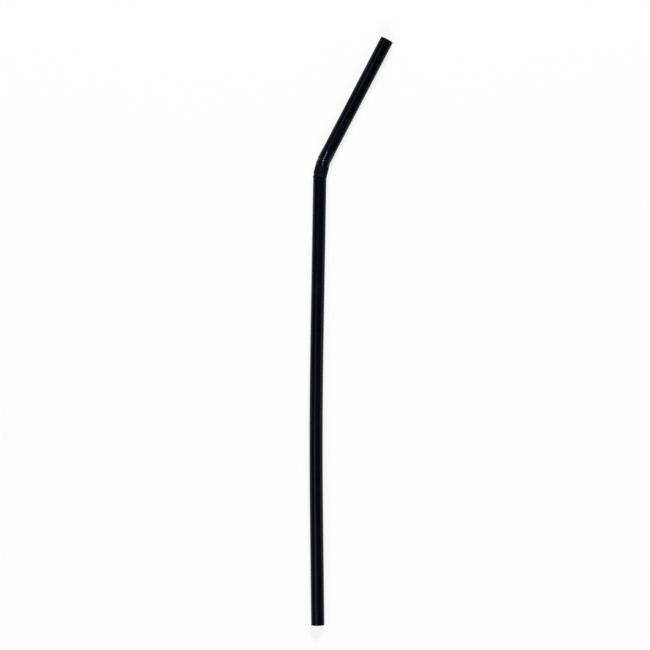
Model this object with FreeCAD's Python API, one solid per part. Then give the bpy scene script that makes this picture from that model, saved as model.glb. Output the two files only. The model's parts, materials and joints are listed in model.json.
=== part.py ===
"""A slim bendy drinking straw, extruded from cellulose as one tube.

The long leg is plain tube with a gentle bow. Above it a short stretch of the tube is pressed into
folds, and the short leg with the mouth end follows. Each fold is a cup-shaped cone, the long flank,
with a small cone inside its foot, the short flank. A closed cup sits over the one below it like
stacked paper cups, with its rim turned down to the long leg. Where the straw is bent, the short
flank of a few cups has snapped open on the outside of the bend alone, and each of these cups tilts
the rest of the straw by the same small angle. The bend is the sum of these tilts.

The straw lies on its side on z = 0. The long leg runs along +Y and the short leg leans to +X.
Everything is built along a chain of local frames in which Z runs up the tube, -X is the inside of
the bend and Y is upright. Sizes are in millimetres and degrees.
"""

import FreeCAD, Part
import math
import os

from FreeCAD import Placement, Rotation, Vector

# The plain tube
tube_radius = 2.5
tube_wall = 0.2

# The long leg, from its lower end up
lower_run = 39.8        # straight
bow_run = 67.5          # bowed towards the inside of the bend
bow_angle = 1.65
upper_run = 60.5        # straight, up to the first rim

# The short leg, above the last fold
mouth_run = 46.6

# The folds
rim_lip = 0.21          # a rim stands out this far past the tube
fold_depth = 0.45       # from the rim of a cup in to its neck
long_flank = 1.25       # height of a cup
short_flank = 0.64      # height of the part that snaps open
fold_wall = 0.12        # the tube is stretched thinner in the folds
open_slip = 0.13        # an open cup slides this far to the inside of the bend

# The cups that follow the first one, from the long leg to the short leg
cup_rows = (("open", 1), ("closed", 7), ("open", 1), ("closed", 5))

# How the long leg lies: its lower run leans this far from +Y, away from the short leg
lower_lean = 0.67

# Sizes that follow
bow_radius = bow_run / math.radians(bow_angle)
bore_radius = tube_radius - tube_wall
rim_radius = tube_radius + rim_lip
slope = fold_depth / long_flank
fold_wall_across = fold_wall * math.hypot(1.0, slope)
closed_pitch = long_flank - short_flank
open_tilt = math.degrees(math.atan2(short_flank, rim_radius))
opens = [state == "open" for state, count in cup_rows for _ in range(count)]


def cup_outside(height):
    """Radius of a cup's outside, this far above its rim."""
    return rim_radius - slope * height


def cup_inside(height):
    """Radius of a cup's inside, this far above its rim."""
    return cup_outside(height) - fold_wall_across


def moved(frame, shift, tilt=0.0):
    """The frame that follows this one, after a shift and a tilt towards the inside of the bend."""
    return frame.multiply(Placement(shift, Rotation(Vector(0, 1, 0), -tilt)))


def placed(shape, frame):
    """The shape, made about the origin, at its place in the chain."""
    return shape.transformed(frame.toMatrix())


def turned(profile, frame):
    """A solid of revolution about the tube's axis, from (radius, height) points going up."""
    points = [Vector(0, 0, profile[0][1])]
    points += [Vector(radius, 0, height) for radius, height in profile]
    points += [Vector(0, 0, profile[-1][1]), points[0]]
    face = Part.Face(Part.makePolygon(points))
    return placed(face.revolve(Vector(0, 0, 0), Vector(0, 0, 1), 360), frame)


def ring(radius, height, frame):
    """A round section across the tube."""
    circle = Part.Circle(Vector(0, 0, height), Vector(0, 0, 1), radius)
    return placed(Part.Wire([circle.toShape()]), frame)


def slanted_ring(radius_at, inner_height, outer_height, frame):
    """The slanted section of a cone whose radius at a height is radius_at(height).

    It passes the given heights on the inside and on the outside of the bend.
    """
    inner_x = -radius_at(inner_height)
    outer_x = radius_at(outer_height)
    middle_x = (inner_x + outer_x) / 2
    middle_height = (inner_height + outer_height) / 2
    half_long = math.hypot(outer_x - inner_x, outer_height - inner_height) / 2
    half_wide = math.sqrt(radius_at(middle_height) ** 2 - middle_x**2)
    slant = math.degrees(math.atan2(outer_height - inner_height, outer_x - inner_x))
    ellipse = Part.Ellipse(Vector(0, 0, 0), half_long, half_wide)
    centre = moved(frame, Vector(middle_x, 0, middle_height), slant)
    return placed(Part.Wire([ellipse.toShape()]), centre)


def skinned(rings):
    """A solid whose side runs straight from each ring to the next."""
    return Part.makeLoft(rings, True, True)


def bowed(radius, frame):
    """The bowed stretch of the long leg, solid, out to this radius."""
    disc = Part.Face(Part.Wire([Part.Circle(Vector(0, 0, 0), Vector(0, 0, 1), radius).toShape()]))
    stretch = disc.revolve(Vector(-bow_radius, 0, 0), Vector(0, -1, 0), bow_angle)
    return placed(stretch, frame)


def chain():
    """The frames along the straw: its lower end, the bow's start and end, and then every cup's rim."""
    lean = math.radians(-lower_lean)
    outwards = Vector(-math.cos(lean), math.sin(lean), 0)
    along = Vector(math.sin(lean), math.cos(lean), 0)
    start = Placement(Vector(0, 0, rim_radius), Rotation(outwards, Vector(0, 0, 1), along, "ZXY"))
    bow = math.radians(bow_angle)
    bow_start = moved(start, Vector(0, 0, lower_run))
    bow_chord = Vector(-bow_radius * (1 - math.cos(bow)), 0, bow_radius * math.sin(bow))
    bow_end = moved(bow_start, bow_chord, bow_angle)
    rims = [moved(bow_end, Vector(0, 0, upper_run))]
    for is_open in opens:
        if is_open:
            rims.append(moved(rims[-1], Vector(-open_slip, 0, long_flank), open_tilt))
        else:
            rims.append(moved(rims[-1], Vector(0, 0, closed_pitch)))
    return start, bow_start, bow_end, rims


def legs(radius, to_first_rim, from_last_rim, start, bow_start, bow_end, rims):
    """The plain tube as full rods of this radius, up to and on from these heights at the rims."""
    return [
        turned([(radius, 0), (radius, lower_run)], start),
        bowed(radius, bow_start),
        turned([(radius, 0), (radius, upper_run + to_first_rim)], bow_end),
        turned([(radius, from_last_rim), (radius, long_flank + mouth_run)], rims[-1]),
    ]


def outside(start, bow_start, bow_end, rims):
    """Everything within the straw's outer surface, bore included."""
    collar = rim_lip / slope
    solids = legs(tube_radius, 0, collar, start, bow_start, bow_end, rims)
    closed_step = (cup_outside(closed_pitch), closed_pitch)
    for rim, next_rim, is_open in zip(rims, rims[1:], opens):
        if is_open:
            neck = slanted_ring(cup_outside, closed_pitch, long_flank, rim)
            solids.append(skinned([ring(rim_radius, 0, rim), neck, ring(rim_radius, 0, next_rim)]))
        else:
            solids.append(turned([(rim_radius, 0), closed_step], rim))
    solids.append(turned([(rim_radius, 0), (tube_radius, collar)], rims[-1]))
    return solids


def inside(start, bow_start, bow_end, rims):
    """Everything within the straw's bore."""
    solids = legs(bore_radius, short_flank, long_flank, start, bow_start, bow_end, rims)
    foot = (cup_inside(short_flank), short_flank)
    tips = [cup_inside(long_flank)] * len(opens) + [bore_radius]
    solids.append(turned([foot, (tips[0], long_flank)], rims[0]))
    for rim, next_rim, tip, next_tip, is_open in zip(rims, rims[1:], tips, tips[1:], opens):
        if is_open:
            pocket = slanted_ring(cup_inside, short_flank, fold_wall / 2, next_rim)
            solids.append(
                skinned([ring(tip, long_flank, rim), pocket, ring(next_tip, long_flank, next_rim)])
            )
        else:
            solids.append(turned([foot, (next_tip, long_flank)], next_rim))
    return solids


def joined(solids):
    """One solid from a row of solids that meet face to face."""
    return solids[0].multiFuse(solids[1:]).removeSplitter()


def straw():
    """The whole straw, resting on z = 0 with the origin under the middle of its box."""
    frames = chain()
    shape = joined(outside(*frames)).cut(joined(inside(*frames)))
    box = shape.optimalBoundingBox(False)
    shape.translate(Vector(-box.Center.x, -box.Center.y, -box.ZMin))
    return shape


def main():
    os.makedirs("parts", exist_ok=True)
    shape = straw()
    shape.exportStep("parts/straw.step")
    box = shape.optimalBoundingBox(False)
    bend = open_tilt * sum(opens)
    print("solids", len(shape.Solids), "faces", len(shape.Faces), "valid", shape.isValid())
    print("volume", round(shape.Volume, 2), "mm3, bend", round(bend, 2), "degrees")
    print("box", [round(v, 3) for v in (box.XMin, box.XMax, box.YMin, box.YMax, box.ZMin, box.ZMax)])


main()
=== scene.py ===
"""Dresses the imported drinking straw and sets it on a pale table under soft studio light.

The straw is one extruded tube. Its folded section is a row of cups: a closed cup sits over the one
below it, and an open one stands up on the outside of the bend and tilts the rest of the straw. The
mesh follows the same sections as the part, ring by ring, with finer facets and softly rounded rims.
"""

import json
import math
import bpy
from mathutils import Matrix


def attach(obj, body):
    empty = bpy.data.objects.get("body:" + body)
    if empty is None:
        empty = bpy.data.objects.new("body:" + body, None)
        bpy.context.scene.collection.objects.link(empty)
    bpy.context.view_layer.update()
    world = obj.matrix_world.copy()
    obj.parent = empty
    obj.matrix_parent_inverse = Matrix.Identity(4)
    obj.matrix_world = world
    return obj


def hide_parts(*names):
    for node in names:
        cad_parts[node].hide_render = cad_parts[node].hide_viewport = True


bl_info = {
    "name": "Bendy Drinking Straw",
    "version": (1, 0, 0),
    "blender": (4, 5, 0),
    "location": "View3D > Sidebar > Straw",
    "description": "Builds a slim bendy drinking straw lying on a pale table",
    "category": "Add Mesh",
}

import bmesh
import bpy
from mathutils import Matrix, Vector

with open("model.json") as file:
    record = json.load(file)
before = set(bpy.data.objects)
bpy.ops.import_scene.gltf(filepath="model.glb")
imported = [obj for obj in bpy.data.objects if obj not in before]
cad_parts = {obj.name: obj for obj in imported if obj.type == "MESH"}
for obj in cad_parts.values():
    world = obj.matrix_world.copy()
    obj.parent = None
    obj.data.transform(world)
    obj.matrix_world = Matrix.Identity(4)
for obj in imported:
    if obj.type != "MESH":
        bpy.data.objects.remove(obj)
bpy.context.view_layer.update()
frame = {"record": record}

MM = 0.001
MOUNTS = {mount["name"]: mount for mount in frame["record"]["mounts"]}


def mount_size(name, key):
    """A size of one of the part's mounts, in metres."""
    return MOUNTS[name]["dims"][key] * MM


class StrawSizes(bpy.types.PropertyGroup):
    """The sizes of the straw."""

    tube_radius: bpy.props.FloatProperty(
        name="Tube radius",
        description="Outside radius of the plain tube",
        default=mount_size("lower_outside", "r_mm"),
        min=1.5 * MM,
        max=6 * MM,
        precision=5,
        subtype="DISTANCE",
        unit="LENGTH",
    )
    bore_radius: bpy.props.FloatProperty(
        name="Bore radius",
        description="Inside radius of the plain tube",
        default=mount_size("lower_bore", "r_mm"),
        min=1.2 * MM,
        max=5.8 * MM,
        precision=5,
        subtype="DISTANCE",
        unit="LENGTH",
    )
    lower_run: bpy.props.FloatProperty(
        name="Lower run",
        description="Straight stretch of the long leg, from its lower end up to the bow",
        default=mount_size("lower_outside", "length_mm"),
        min=5 * MM,
        max=0.2,
        subtype="DISTANCE",
        unit="LENGTH",
    )
    bow_run: bpy.props.FloatProperty(
        name="Bow length",
        description="Length of the gently bowed stretch of the long leg",
        default=67.5 * MM,
        min=5 * MM,
        max=0.2,
        subtype="DISTANCE",
        unit="LENGTH",
    )
    bow_angle: bpy.props.FloatProperty(
        name="Bow",
        description="Angle by which the long leg bows towards the inside of the bend",
        default=math.radians(1.65),
        min=0.0,
        max=math.radians(20),
        subtype="ANGLE",
        unit="ROTATION",
    )
    upper_run: bpy.props.FloatProperty(
        name="Upper run",
        description="Straight stretch of the long leg, from the bow up to the first rim",
        default=mount_size("upper_outside", "length_mm"),
        min=5 * MM,
        max=0.2,
        subtype="DISTANCE",
        unit="LENGTH",
    )
    mouth_run: bpy.props.FloatProperty(
        name="Mouth run",
        description="Plain bore of the short leg, from the last cup to the mouth end",
        default=mount_size("mouth_bore", "length_mm"),
        min=5 * MM,
        max=0.2,
        subtype="DISTANCE",
        unit="LENGTH",
    )
    rim_lip: bpy.props.FloatProperty(
        name="Rim lip",
        description="How far a cup's rim stands out past the tube",
        default=0.21 * MM,
        min=0.05 * MM,
        max=1 * MM,
        precision=6,
        subtype="DISTANCE",
        unit="LENGTH",
    )
    fold_depth: bpy.props.FloatProperty(
        name="Fold depth",
        description="From the rim of a cup in to its neck",
        default=0.45 * MM,
        min=0.1 * MM,
        max=1.5 * MM,
        precision=6,
        subtype="DISTANCE",
        unit="LENGTH",
    )
    long_flank: bpy.props.FloatProperty(
        name="Cup height",
        description="Height of a cup's long flank",
        default=1.25 * MM,
        min=0.5 * MM,
        max=4 * MM,
        precision=6,
        subtype="DISTANCE",
        unit="LENGTH",
    )
    short_flank: bpy.props.FloatProperty(
        name="Snap height",
        description="Height of the short flank, which snaps open on the outside of the bend",
        default=0.64 * MM,
        min=0.1 * MM,
        max=2 * MM,
        precision=6,
        subtype="DISTANCE",
        unit="LENGTH",
    )
    fold_wall: bpy.props.FloatProperty(
        name="Fold wall",
        description="Thickness of the wall in the folds",
        default=0.12 * MM,
        min=0.05 * MM,
        max=0.5 * MM,
        precision=6,
        subtype="DISTANCE",
        unit="LENGTH",
    )
    open_slip: bpy.props.FloatProperty(
        name="Open slip",
        description="How far an open cup slides to the inside of the bend",
        default=0.13 * MM,
        min=0.0,
        max=0.5 * MM,
        precision=6,
        subtype="DISTANCE",
        unit="LENGTH",
    )
    rim_rounding: bpy.props.FloatProperty(
        name="Rim rounding",
        description="Width of the rounded edge on each rim",
        default=0.06 * MM,
        min=0.01 * MM,
        max=0.2 * MM,
        precision=6,
        subtype="DISTANCE",
        unit="LENGTH",
    )
    end_rounding: bpy.props.FloatProperty(
        name="End rounding",
        description="Width of the softened edge at the two cut ends",
        default=0.04 * MM,
        min=0.01 * MM,
        max=0.1 * MM,
        precision=6,
        subtype="DISTANCE",
        unit="LENGTH",
    )
    ring_step: bpy.props.FloatProperty(
        name="Ring step",
        description="Longest distance between two rings of the plain tube's mesh",
        default=4 * MM,
        min=1 * MM,
        max=20 * MM,
        subtype="DISTANCE",
        unit="LENGTH",
    )
    segments: bpy.props.IntProperty(
        name="Segments",
        description="Facets round the tube",
        default=96,
        min=24,
        max=256,
    )


class StrawFinish(bpy.types.PropertyGroup):
    """The colours and the surface of the straw."""

    dark_tone: bpy.props.FloatVectorProperty(
        name="Dark tone",
        description="The darker of the two shades of the dyed cellulose",
        default=(0.0010, 0.0017, 0.0032),
        size=3,
        min=0.0,
        max=1.0,
        subtype="COLOR",
    )
    light_tone: bpy.props.FloatVectorProperty(
        name="Light tone",
        description="The lighter of the two shades of the dyed cellulose",
        default=(0.0018, 0.0026, 0.0045),
        size=3,
        min=0.0,
        max=1.0,
        subtype="COLOR",
    )
    roughness: bpy.props.FloatProperty(
        name="Roughness",
        description="Mean roughness of the satin surface",
        default=0.23,
        min=0.05,
        max=1.0,
        subtype="FACTOR",
    )
    shine: bpy.props.FloatProperty(
        name="Shine",
        description="Specular level of the surface",
        default=0.10,
        min=0.0,
        max=1.0,
        subtype="FACTOR",
    )
    gloss_tint: bpy.props.FloatVectorProperty(
        name="Gloss tint",
        description="Tint of what the surface mirrors",
        default=(0.75, 0.76, 1.0),
        size=3,
        min=0.0,
        max=1.0,
        subtype="COLOR",
    )
    rubbed_roughness: bpy.props.FloatProperty(
        name="Rubbed roughness",
        description="Mean roughness of the folds next to the long leg, which are rubbed dull",
        default=0.65,
        min=0.05,
        max=1.0,
        subtype="FACTOR",
    )
    bright_roughness: bpy.props.FloatProperty(
        name="Bright roughness",
        description="Mean roughness of the folds next to the short leg, which are stretched bright",
        default=0.2,
        min=0.05,
        max=1.0,
        subtype="FACTOR",
    )
    bright_shine: bpy.props.FloatProperty(
        name="Bright shine",
        description="Specular level of the folds that are stretched bright",
        default=0.22,
        min=0.0,
        max=1.0,
        subtype="FACTOR",
    )
    grain_width: bpy.props.FloatProperty(
        name="Grain width",
        description="Width of the fine lines that the die leaves along the tube",
        default=0.16 * MM,
        min=0.05 * MM,
        max=2 * MM,
        precision=6,
        subtype="DISTANCE",
        unit="LENGTH",
    )
    grain_stretch: bpy.props.FloatProperty(
        name="Grain stretch",
        description="How many times longer than wide the lines of the grain are",
        default=60.0,
        min=1.0,
        max=1000.0,
    )


class StageSettings(bpy.types.PropertyGroup):
    """The table, the lamps and the camera."""

    table_colour: bpy.props.FloatVectorProperty(
        name="Table colour",
        description="Colour of the table top",
        default=(0.97, 0.97, 0.97),
        size=3,
        min=0.0,
        max=1.0,
        subtype="COLOR",
    )
    table_glow: bpy.props.FloatProperty(
        name="Table glow",
        description="Share of plain white in what is seen of the table top",
        default=0.8,
        min=0.0,
        max=1.0,
        subtype="FACTOR",
    )
    table_size: bpy.props.FloatProperty(
        name="Table size",
        description="Length of the square table top's sides",
        default=12.0,
        min=1.0,
        max=50.0,
        subtype="DISTANCE",
        unit="LENGTH",
    )
    light_level: bpy.props.FloatProperty(
        name="Light level",
        description="Brightness of all lamps together, where 1 shows a colour about as it is",
        default=1.0,
        min=0.0,
        max=4.0,
        subtype="FACTOR",
    )
    camera_height: bpy.props.FloatProperty(
        name="Camera height",
        description="Height of the camera above the straw's centre line",
        default=0.8,
        min=0.3,
        max=5.0,
        subtype="DISTANCE",
        unit="LENGTH",
    )
    view_width: bpy.props.FloatProperty(
        name="View width",
        description="Width of what the camera sees at the straw's centre line",
        default=0.24375,
        min=0.05,
        max=1.0,
        subtype="DISTANCE",
        unit="LENGTH",
    )
    view_centre: bpy.props.FloatVectorProperty(
        name="View centre",
        description="The point of the table under the camera",
        default=(-0.00981, 0.00222),
        size=2,
        precision=5,
        subtype="TRANSLATION",
        unit="LENGTH",
    )


# The cups that follow the first one, from the long leg to the short leg
CUP_ROWS = (("open", 1), ("closed", 7), ("open", 1), ("closed", 5))

# The slots of the straw's materials that follow the long leg's
RUBBED_FOLDS, BRIGHT_FOLDS, SHORT_LEG = 1, 2, 3

# The rim at which the folds turn from dull to bright, counted from 0 at the long leg
BRIGHT_FROM = 6

# Facets across the rounded edge of a rim and of a cut end
RIM_FACETS = 3
END_FACETS = 2

# Faces that meet at more than this angle keep a sharp edge between them
CREASE_ANGLE = math.radians(40)

# The span in which most of a noise texture's values lie
NOISE_LOW, NOISE_HIGH = 0.3, 0.7

# The patches of the two tones, which are a little smoother or rougher too
PATCH_WIDTH = 6 * MM
ROUGHNESS_SPREAD = 0.06

# The slow waves along the tube, and the height of the fine lines that the die leaves
WAVE_WIDTH = 22 * MM
WAVE_HEIGHT = 0.04 * MM
WAVE_STRENGTH = 0.6
GRAIN_HEIGHT = 0.012 * MM
GRAIN_STRENGTH = 0.8

# Each lamp's name, place, lengths of its two sides in metres, and share of the light on the table
LAMPS = (
    ("side_key", (-0.69, -0.36, 1.40), (0.65, 0.80), 0.17),
    ("far_key", (-0.60, 0.60, 1.40), (0.45, 0.35), 0.06),
    ("head_lamp", (0.14, 1.05, 1.00), (0.40, 0.18), 0.48),
    ("foot_lamp", (-0.10, -1.60, 1.20), (1.2, 0.8), 0.25),
    ("side_card", (1.50, -0.08, 0.28), (0.28, 0.30), 0.009),
)

# The greys of the world, along the horizon and overhead
HORIZON_GREY = 0.72
CEILING_GREY = 0.03

# The heights between which one turns into the other, where 1 is straight up
HORIZON_TOP = 0.05
CEILING_FOOT = 0.13

# The camera's sensor in millimetres, and the nearest and farthest that it sees, in metres
SENSOR_WIDTH = 36
NEAREST = 0.01
FARTHEST = 50


def turned_up(direction):
    """The rotation whose Z runs up the tube, with Y upright and -X to the inside of the bend."""
    up_tube = Vector(direction).normalized()
    upright = Vector((0, 0, 1))
    outside = upright.cross(up_tube)
    return Matrix((outside, upright, up_tube)).transposed().to_4x4()


def moved(place, shift, tilt=0.0):
    """The frame that follows this one, after a shift and a tilt towards the inside of the bend."""
    return place @ Matrix.Translation(shift) @ Matrix.Rotation(-tilt, 4, "Y")


def ring(place, radius, height):
    """Carries the unit circle to a round section across the tube."""
    return place @ Matrix.Translation((0, 0, height)) @ Matrix.Diagonal((radius, radius, 1, 1))


def slanted_ring(place, radius_at, inner_height, outer_height):
    """Carries the unit circle to the slanted section of a cone.

    The cone's radius at a height is radius_at(height), and the section passes the given heights on
    the inside and on the outside of the bend.
    """
    inner = Vector((-radius_at(inner_height), 0, inner_height))
    outer = Vector((radius_at(outer_height), 0, outer_height))
    middle = (inner + outer) / 2
    half_long = (outer - inner).length / 2
    half_wide = math.sqrt(radius_at(middle.z) ** 2 - middle.x**2)
    slant = math.atan2(outer.z - inner.z, outer.x - inner.x)
    return moved(place, middle, slant) @ Matrix.Diagonal((half_long, half_wide, 1, 1))


class Straw:
    """The sections of the straw, worked out from its sizes along a chain of local frames."""

    def __init__(self, sizes):
        self.sizes = sizes
        self.opens = [state == "open" for state, count in CUP_ROWS for _ in range(count)]
        self.rim_radius = sizes.tube_radius + sizes.rim_lip
        self.slope = sizes.fold_depth / sizes.long_flank
        self.closed_pitch = sizes.long_flank - sizes.short_flank
        self.set_chain()

    def cup_outside(self, height):
        """Radius of a cup's outside, this far above its rim."""
        return self.rim_radius - self.slope * height

    def cup_inside(self, height):
        """Radius of a cup's inside, this far above its rim."""
        return self.cup_outside(height) - self.sizes.fold_wall * math.hypot(1, self.slope)

    def set_chain(self):
        """Sets the frames of the lower end, of the bow's two ends and of every rim."""
        sizes = self.sizes
        lower = MOUNTS["lower_outside"]
        self.start = Matrix.Translation(lower["pos_m"]) @ turned_up(-Vector(lower["axis"]))
        self.bow_start = moved(self.start, (0, 0, sizes.lower_run))
        self.bow_end = self.on_bow(1)
        open_tilt = math.atan2(sizes.short_flank, self.rim_radius)
        self.rims = [moved(self.bow_end, (0, 0, sizes.upper_run))]
        for is_open in self.opens:
            if is_open:
                shift, tilt = (-sizes.open_slip, 0, sizes.long_flank), open_tilt
            else:
                shift, tilt = (0, 0, self.closed_pitch), 0
            self.rims.append(moved(self.rims[-1], shift, tilt))

    def on_bow(self, share):
        """The frame this share of the way along the bow."""
        angle = self.sizes.bow_angle * share
        radius = self.sizes.bow_run / self.sizes.bow_angle
        chord = (-radius * (1 - math.cos(angle)), 0, radius * math.sin(angle))
        return moved(self.bow_start, chord, angle)

    def run(self, place, radius, bottom, top):
        """Rings of plain tube from one height to another, both included."""
        steps = max(1, math.ceil((top - bottom) / self.sizes.ring_step))
        return [ring(place, radius, bottom + (top - bottom) * i / steps) for i in range(steps + 1)]

    def bow(self, radius):
        """Rings of the bowed stretch, without its two ends."""
        steps = max(2, math.ceil(self.sizes.bow_run / self.sizes.ring_step))
        return [ring(self.on_bow(i / steps), radius, 0) for i in range(1, steps)]

    def outer_rings(self):
        """The outside from the lower end to the mouth end, and which of its rings are rims."""
        sizes = self.sizes
        rings = self.run(self.start, sizes.tube_radius, 0, sizes.lower_run)
        rings += self.bow(sizes.tube_radius)
        rings += self.run(self.bow_end, sizes.tube_radius, 0, sizes.upper_run)
        rims = [len(rings)]
        rings.append(ring(self.rims[0], self.rim_radius, 0))
        for place, next_place, is_open in zip(self.rims, self.rims[1:], self.opens):
            if is_open:
                rings.append(
                    slanted_ring(place, self.cup_outside, self.closed_pitch, sizes.long_flank)
                )
            else:
                rings.append(ring(place, self.cup_outside(self.closed_pitch), self.closed_pitch))
            rims.append(len(rings))
            rings.append(ring(next_place, self.rim_radius, 0))
        collar = sizes.rim_lip / self.slope
        end = sizes.long_flank + sizes.mouth_run
        rings += self.run(self.rims[-1], sizes.tube_radius, collar, end)
        return rings, rims

    def inner_rings(self):
        """The bore from the lower end to the mouth end."""
        sizes = self.sizes
        foot = self.cup_inside(sizes.short_flank)
        neck = self.cup_inside(sizes.long_flank)
        half_wall = sizes.fold_wall / 2
        end = sizes.long_flank + sizes.mouth_run
        rings = self.run(self.start, sizes.bore_radius, 0, sizes.lower_run)
        rings += self.bow(sizes.bore_radius)
        rings += self.run(self.bow_end, sizes.bore_radius, 0, sizes.upper_run + sizes.short_flank)
        rings.append(ring(self.rims[0], foot, sizes.short_flank))
        for place, next_place, is_open in zip(self.rims, self.rims[1:], self.opens):
            rings.append(ring(place, neck, sizes.long_flank))
            if is_open:
                rings.append(
                    slanted_ring(next_place, self.cup_inside, sizes.short_flank, half_wall)
                )
            else:
                rings.append(ring(next_place, foot, sizes.short_flank))
        rings += self.run(self.rims[-1], sizes.bore_radius, sizes.long_flank, end)
        return rings


def tube_skin(bm, rings, segments):
    """Sweeps one circle through all the rings and joins the last to the first.

    Returns the edges of each ring.
    """
    circle = bmesh.ops.create_circle(bm, segments=segments, radius=1, matrix=rings[0])
    first = dict.fromkeys(edge for vert in circle["verts"] for edge in vert.link_edges)
    loops = [list(first)]
    for before, after in zip(rings, rings[1:]):
        swept = bmesh.ops.extrude_edge_only(bm, edges=loops[-1])["geom"]
        verts = [item for item in swept if isinstance(item, bmesh.types.BMVert)]
        fresh = set(verts)
        loops.append(
            [e for e in swept if isinstance(e, bmesh.types.BMEdge) and fresh.issuperset(e.verts)]
        )
        bmesh.ops.transform(bm, matrix=after @ before.inverted(), verts=verts)
    bmesh.ops.bridge_loops(bm, edges=loops[0] + loops[-1])
    bmesh.ops.recalc_face_normals(bm, faces=bm.faces)
    return loops


def painted(loops, index):
    """Gives the faces on both sides of these rings a material of the piece."""
    for loop in loops:
        for edge in loop:
            for face in edge.link_faces:
                face.material_index = index


def rounded(bm, loops, width, facets):
    """Rounds the edges of these rings."""
    bmesh.ops.bevel(
        bm,
        geom=[edge for loop in loops for edge in loop],
        offset=width,
        offset_type="OFFSET",
        segments=facets,
        profile=0.5,
        affect="EDGES",
        material=-1,
    )


def creased(bm):
    """Shades an edge sharp where its two faces meet at more than the crease's angle."""
    for edge in bm.edges:
        edge.smooth = edge.calc_face_angle(0) < CREASE_ANGLE


def finished(bm, name):
    """A smooth-shaded object from the mesh, standing at the origin."""
    mesh = bpy.data.meshes.new(name)
    bm.to_mesh(mesh)
    bm.free()
    for polygon in mesh.polygons:
        polygon.use_smooth = True
    piece = bpy.data.objects.new(name, mesh)
    bpy.context.scene.collection.objects.link(piece)
    return piece


def link(tree, source, output, target, socket):
    """Joins two nodes of a material."""
    tree.links.new(source.outputs[output], target.inputs[socket])


def noise(tree, source, output, width, detail):
    """A noise texture on these coordinates whose features are about this wide, in metres."""
    node = tree.nodes.new("ShaderNodeTexNoise")
    node.inputs["Scale"].default_value = 1 / width
    node.inputs["Detail"].default_value = detail
    link(tree, source, output, node, "Vector")
    return node


def ranged(tree, texture, low, high):
    """Spreads the values of a noise texture over low to high."""
    node = tree.nodes.new("ShaderNodeMapRange")
    node.inputs["From Min"].default_value = NOISE_LOW
    node.inputs["From Max"].default_value = NOISE_HIGH
    node.inputs["To Min"].default_value = low
    node.inputs["To Max"].default_value = high
    link(tree, texture, "Fac", node, "Value")
    return node


def bumped(tree, texture, height, strength, under=None):
    """A bump of this height in metres, over another one if given."""
    node = tree.nodes.new("ShaderNodeBump")
    node.inputs["Strength"].default_value = strength
    node.inputs["Distance"].default_value = height
    link(tree, texture, "Fac", node, "Height")
    if under:
        link(tree, under, "Normal", node, "Normal")
    return node


def dyed_cellulose(name, finish, roughness, shine, up_tube):
    """Black cellulose with a satin surface, fine lines up the tube and slow waves in its gloss.

    up_tube is the direction of the tube, and so of the lines.
    """
    material = bpy.data.materials.new(name)
    material.use_nodes = True
    tree = material.node_tree
    shader = tree.nodes["Principled BSDF"]
    shader.inputs["Specular IOR Level"].default_value = shine
    shader.inputs["Specular Tint"].default_value = (*finish.gloss_tint, 1)
    place = tree.nodes.new("ShaderNodeTexCoord")
    drawn = tree.nodes.new("ShaderNodeMapping")
    drawn.vector_type = "TEXTURE"
    drawn.inputs["Rotation"].default_value = (0, 0, -math.atan2(up_tube.x, up_tube.y))
    drawn.inputs["Scale"].default_value = (1, finish.grain_stretch, 1)
    link(tree, place, "Object", drawn, "Vector")
    grain = noise(tree, drawn, "Vector", finish.grain_width, detail=2)
    patches = noise(tree, place, "Object", PATCH_WIDTH, detail=3)
    waves = noise(tree, place, "Object", WAVE_WIDTH, detail=1)

    shade = tree.nodes.new("ShaderNodeMix")
    shade.data_type = "RGBA"
    shade.inputs["A"].default_value = (*finish.dark_tone, 1)
    shade.inputs["B"].default_value = (*finish.light_tone, 1)
    link(tree, ranged(tree, patches, 0, 1), "Result", shade, "Factor")
    link(tree, shade, "Result", shader, "Base Color")

    satin = ranged(tree, patches, roughness - ROUGHNESS_SPREAD, roughness + ROUGHNESS_SPREAD)
    link(tree, satin, "Result", shader, "Roughness")

    wavy = bumped(tree, waves, WAVE_HEIGHT, WAVE_STRENGTH)
    grained = bumped(tree, grain, GRAIN_HEIGHT, GRAIN_STRENGTH, wavy)
    link(tree, grained, "Normal", shader, "Normal")
    return material


def pale_table(settings):
    """A matt table top, with a share of plain white in it wherever it is seen.

    It is seen by the camera, in what mirrors it and through what is clear. The light that it throws
    on the straw is that of the matt top alone.
    """
    material = bpy.data.materials.new("pale_table")
    material.use_nodes = True
    tree = material.node_tree
    shader = tree.nodes["Principled BSDF"]
    shader.inputs["Base Color"].default_value = (*settings.table_colour, 1)
    shader.inputs["Roughness"].default_value = 1.0
    shader.inputs["Specular IOR Level"].default_value = 0.0
    rays = tree.nodes.new("ShaderNodeLightPath")
    mirrored = tree.nodes.new("ShaderNodeMath")
    mirrored.operation = "MAXIMUM"
    link(tree, rays, "Is Camera Ray", mirrored, 0)
    link(tree, rays, "Is Glossy Ray", mirrored, 1)
    seen = tree.nodes.new("ShaderNodeMath")
    seen.operation = "MAXIMUM"
    link(tree, mirrored, "Value", seen, 0)
    link(tree, rays, "Is Transmission Ray", seen, 1)
    share = tree.nodes.new("ShaderNodeMath")
    share.operation = "MULTIPLY"
    link(tree, seen, "Value", share, 0)
    share.inputs[1].default_value = settings.table_glow
    glow = tree.nodes.new("ShaderNodeEmission")
    both = tree.nodes.new("ShaderNodeMixShader")
    link(tree, share, "Value", both, "Fac")
    link(tree, shader, "BSDF", both, 1)
    link(tree, glow, "Emission", both, 2)
    link(tree, both, "Shader", tree.nodes["Material Output"], "Surface")
    return material


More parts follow.
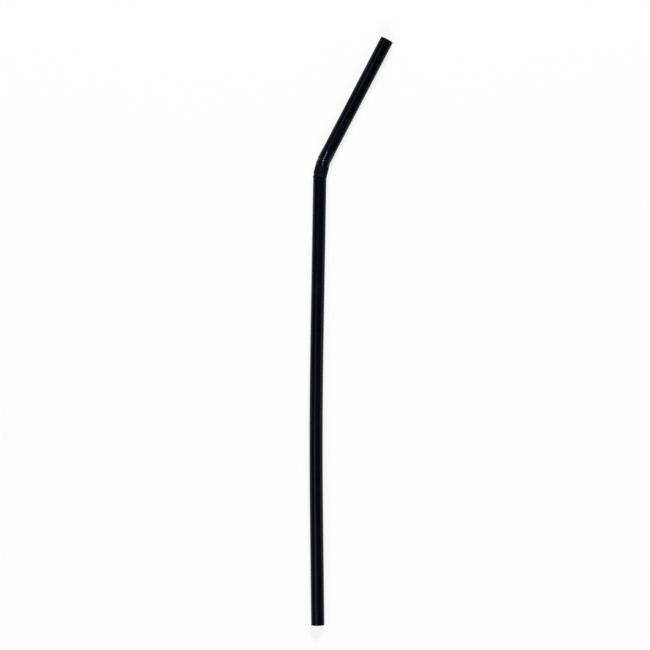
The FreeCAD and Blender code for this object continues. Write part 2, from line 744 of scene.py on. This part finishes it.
def area_lamp(name, place, sides, share, level):
    """A soft rectangular lamp, aimed at the straw, that gives this share of the table's light.

    At a level of 1 the shares add up to about 1, at which a white table shows white.
    """
    lamp = bpy.data.lights.new(name, "AREA")
    lamp.shape = "RECTANGLE"
    lamp.size, lamp.size_y = sides
    away = Vector(place)
    facing = away.normalized().z
    # The table gets energy * facing / (pi * distance squared), and shows white where it gets pi
    lamp.energy = share * level * math.pi**2 * away.length_squared / facing
    holder = bpy.data.objects.new(name, lamp)
    bpy.context.scene.collection.objects.link(holder)
    holder.location = place
    holder.rotation_euler = away.to_track_quat("Z", "Y").to_euler()


def studio_world():
    """A narrow pale band along the horizon under a dark ceiling."""
    world = bpy.data.worlds.new("studio")
    world.use_nodes = True
    tree = world.node_tree
    background = tree.nodes["Background"]
    place = tree.nodes.new("ShaderNodeTexCoord")
    parts = tree.nodes.new("ShaderNodeSeparateXYZ")
    link(tree, place, "Generated", parts, "Vector")
    rise = tree.nodes.new("ShaderNodeMapRange")
    rise.interpolation_type = "SMOOTHSTEP"
    rise.inputs["From Min"].default_value = HORIZON_TOP
    rise.inputs["From Max"].default_value = CEILING_FOOT
    link(tree, parts, "Z", rise, "Value")
    blend = tree.nodes.new("ShaderNodeMix")
    blend.data_type = "RGBA"
    blend.inputs["A"].default_value = (HORIZON_GREY, HORIZON_GREY, HORIZON_GREY, 1)
    blend.inputs["B"].default_value = (CEILING_GREY, CEILING_GREY, CEILING_GREY, 1)
    link(tree, rise, "Result", blend, "Factor")
    link(tree, blend, "Result", background, "Color")
    return world


class STRAW_OT_build_straw(bpy.types.Operator):
    """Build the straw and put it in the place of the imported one"""

    bl_idname = "straw.build_straw"
    bl_label = "Build Straw"
    bl_options = {"REGISTER", "UNDO"}

    def execute(self, context):
        sizes = context.scene.straw_sizes
        straw = Straw(sizes)
        outer, rims = straw.outer_rings()
        inner = straw.inner_rings()
        bm = bmesh.new()
        loops = tube_skin(bm, outer + inner[::-1], sizes.segments)
        mouth_end = len(outer) - 1
        ends = [loops[0], loops[mouth_end], loops[mouth_end + 1], loops[-1]]
        collar_top = rims[-1] + 1
        painted(loops[collar_top + 1 : mouth_end], SHORT_LEG)
        painted([loops[i] for i in rims[:BRIGHT_FROM]], RUBBED_FOLDS)
        painted([loops[i] for i in rims[BRIGHT_FROM:]], BRIGHT_FOLDS)
        rounded(bm, [loops[i] for i in rims], sizes.rim_rounding, RIM_FACETS)
        rounded(bm, ends, sizes.end_rounding, END_FACETS)
        creased(bm)
        piece = finished(bm, "bendy_straw")
        weighted = piece.modifiers.new("true_flanks", "WEIGHTED_NORMAL")
        weighted.keep_sharp = True
        finish = context.scene.straw_finish
        long_leg, folds, short_leg = (
            place.col[2] for place in (straw.bow_start, straw.rims[BRIGHT_FROM], straw.rims[-1])
        )
        for name, roughness, shine, up_tube in (
            ("long_leg", finish.roughness, finish.shine, long_leg),
            ("rubbed_folds", finish.rubbed_roughness, finish.shine, folds),
            ("bright_folds", finish.bright_roughness, finish.bright_shine, folds),
            ("short_leg", finish.roughness, finish.shine, short_leg),
        ):
            piece.data.materials.append(dyed_cellulose(name, finish, roughness, shine, up_tube))
        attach(piece, "root")
        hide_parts("straw")
        return {"FINISHED"}


class STRAW_OT_build_stage(bpy.types.Operator):
    """Build the table, the lamps, the world and the camera"""

    bl_idname = "straw.build_stage"
    bl_label = "Build Stage"
    bl_options = {"REGISTER", "UNDO"}

    def execute(self, context):
        scene = context.scene
        settings = scene.straw_stage
        bm = bmesh.new()
        half = settings.table_size / 2
        bmesh.ops.create_grid(bm, x_segments=4, y_segments=4, size=half)
        table = finished(bm, "table")
        table.data.materials.append(pale_table(settings))

        for name, place, sides, share in LAMPS:
            area_lamp(name, place, sides, share, settings.light_level)
        scene.world = studio_world()

        camera = bpy.data.cameras.new("camera")
        camera.sensor_width = SENSOR_WIDTH
        camera.lens = SENSOR_WIDTH * settings.camera_height / settings.view_width
        camera.clip_start = NEAREST
        camera.clip_end = FARTHEST
        holder = bpy.data.objects.new("camera", camera)
        scene.collection.objects.link(holder)
        axis_height = MOUNTS["lower_outside"]["pos_m"][2]
        holder.location = (*settings.view_centre, axis_height + settings.camera_height)
        scene.camera = holder
        scene.view_settings.view_transform = "Standard"
        return {"FINISHED"}


class STRAW_PT_panel(bpy.types.Panel):
    """Lists what can be built and the sizes it is built with"""

    bl_idname = "STRAW_PT_panel"
    bl_label = "Bendy Straw"
    bl_space_type = "VIEW_3D"
    bl_region_type = "UI"
    bl_category = "Straw"

    def draw(self, context):
        layout = self.layout
        layout.use_property_split = True
        groups = (
            (STRAW_OT_build_straw, (context.scene.straw_sizes, context.scene.straw_finish)),
            (STRAW_OT_build_stage, (context.scene.straw_stage,)),
        )
        for operator, settings in groups:
            box = layout.box()
            for group in settings:
                for name in group.__annotations__:
                    box.prop(group, name)
            box.operator(operator.bl_idname)


CLASSES = (
    StrawSizes,
    StrawFinish,
    StageSettings,
    STRAW_OT_build_straw,
    STRAW_OT_build_stage,
    STRAW_PT_panel,
)


def register():
    for cls in CLASSES:
        bpy.utils.register_class(cls)
    bpy.types.Scene.straw_sizes = bpy.props.PointerProperty(type=StrawSizes)
    bpy.types.Scene.straw_finish = bpy.props.PointerProperty(type=StrawFinish)
    bpy.types.Scene.straw_stage = bpy.props.PointerProperty(type=StageSettings)


def unregister():
    del bpy.types.Scene.straw_stage
    del bpy.types.Scene.straw_finish
    del bpy.types.Scene.straw_sizes
    for cls in reversed(CLASSES):
        bpy.utils.unregister_class(cls)


def main():
    register()
    bpy.ops.straw.build_straw()
    bpy.ops.straw.build_stage()


if __name__ == "__main__":
    main()
